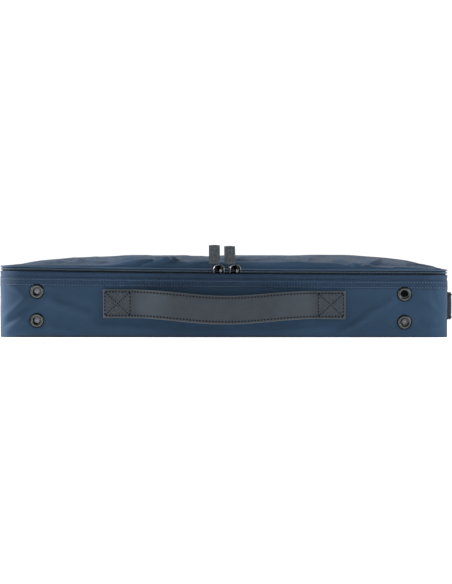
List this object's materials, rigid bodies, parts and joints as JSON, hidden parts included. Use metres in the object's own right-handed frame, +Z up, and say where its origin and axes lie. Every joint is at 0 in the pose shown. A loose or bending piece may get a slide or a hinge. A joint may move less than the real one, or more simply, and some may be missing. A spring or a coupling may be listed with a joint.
{
  "type": "soft carry case",
  "caption": "Flat rectangular padded carry case with a crowned zip-round lid, leather strap handles on the front and one end, and eyelets.",
  "frame": {"origin": "centre of the underside, on the surface the case lies on", "axes": "+Z up, +X along the length to the right as seen from the front handle, front handle wall at -Y, lid hinge wall at +Y"},
  "size_m": [0.548, 0.3785, 0.1112],
  "materials": {
    "navy_nylon": "woven navy nylon, slight sheen",
    "navy_trim": "navy folded tape and piping",
    "lining": "light grey woven lining",
    "foam": "grey closed-cell padding",
    "board": "black stiffener board",
    "zip_tape": "navy woven zip tape",
    "zip_teeth": "dark coil zip teeth",
    "eyelet_metal": "black nickel",
    "slider_metal": "gunmetal",
    "webbing": "grey woven tape",
    "strap_backing": "black webbing",
    "leather": "dark grey leather, waxed"
  },
  "bodies": {
    "case": {"back_skin": "navy_nylon", "base_board": "board", "base_foam": "foam", "base_lining": "lining", "base_skin": "navy_nylon", "eyelet_lower_left": "eyelet_metal", "eyelet_lower_right": "eyelet_metal", "eyelet_upper_left": "eyelet_metal", "eyelet_upper_right": "eyelet_metal", "foam_back": "foam", "foam_corners": "foam", "foam_front": "foam", "foam_left": "foam", "foam_right": "foam", "front_handle_end_left": "leather", "front_handle_end_right": "leather", "gusset_skin": "navy_nylon", "hinge_tape_lower": "navy_trim", "patch_front_left": "board", "patch_front_right": "board", "patch_side_front": "board", "patch_side_rear": "board", "rim_binding": "lining", "side_handle_end_front": "leather", "side_handle_end_rear": "leather", "wall_lining": "lining", "washer_lower_left": "eyelet_metal", "washer_lower_right": "eyelet_metal", "washer_upper_left": "eyelet_metal", "washer_upper_right": "eyelet_metal", "zip_chain_lower": "zip_teeth", "zip_end_left": "navy_trim", "zip_end_right": "navy_trim", "zip_tape_lower": "zip_tape"},
    "lid": {"hinge_tape_upper": "navy_trim", "lid_board": "board", "lid_foam": "foam", "lid_lining": "lining", "lid_piping": "navy_trim", "lid_skin": "navy_nylon", "zip_chain_upper": "zip_teeth", "zip_tape_upper": "zip_tape"},
    "slider_left": {"slider_left": "slider_metal"},
    "slider_right": {"slider_right": "slider_metal"},
    "pull_left": {"pull_loop_left": "slider_metal", "pull_tab_left": "webbing"},
    "pull_right": {"pull_loop_right": "slider_metal", "pull_tab_right": "webbing"},
    "front_handle": {"front_handle_bend_left": "leather", "front_handle_bend_right": "leather", "front_handle_grip_backing": "strap_backing", "front_handle_grip_leather": "leather"},
    "side_handle": {"side_handle_bend_front": "leather", "side_handle_bend_rear": "leather", "side_handle_grip_backing": "strap_backing", "side_handle_grip_leather": "leather"}
  },
  "joints": [
    {"name": "lid_open", "type": "hinge", "parent": "case", "child": "lid", "pos_m": [0, 0.1812, 0.079], "axis": [-1, 0, 0], "range_deg": [0, 180]},
    {"name": "slider_left_run", "type": "slide", "parent": "case", "child": "slider_left", "axis": [-1, 0, 0], "range_m": [0, 0.2304]},
    {"name": "slider_right_run", "type": "slide", "parent": "case", "child": "slider_right", "axis": [1, 0, 0], "range_m": [0, 0.2232]},
    {"name": "pull_left_swing", "type": "hinge", "parent": "slider_left", "child": "pull_left", "pos_m": [-0.0062, -0.183, 0.0792], "axis": [1, 0, 0], "range_deg": [0, 140]},
    {"name": "pull_right_swing", "type": "hinge", "parent": "slider_right", "child": "pull_right", "pos_m": [0.0134, -0.183, 0.0792], "axis": [1, 0, 0], "range_deg": [0, 140]},
    {"name": "front_handle_swing", "type": "hinge", "parent": "case", "child": "front_handle", "pos_m": [0, -0.18, 0.0396], "axis": [-1, 0, 0], "range_deg": [-20, 40], "deforming": ["front_handle_bend_left", "front_handle_bend_right"]},
    {"name": "side_handle_swing", "type": "hinge", "parent": "case", "child": "side_handle", "pos_m": [0.2675, 0, 0.0395], "axis": [0, -1, 0], "range_deg": [-20, 24], "deforming": ["side_handle_bend_front", "side_handle_bend_rear"]}
  ]
}
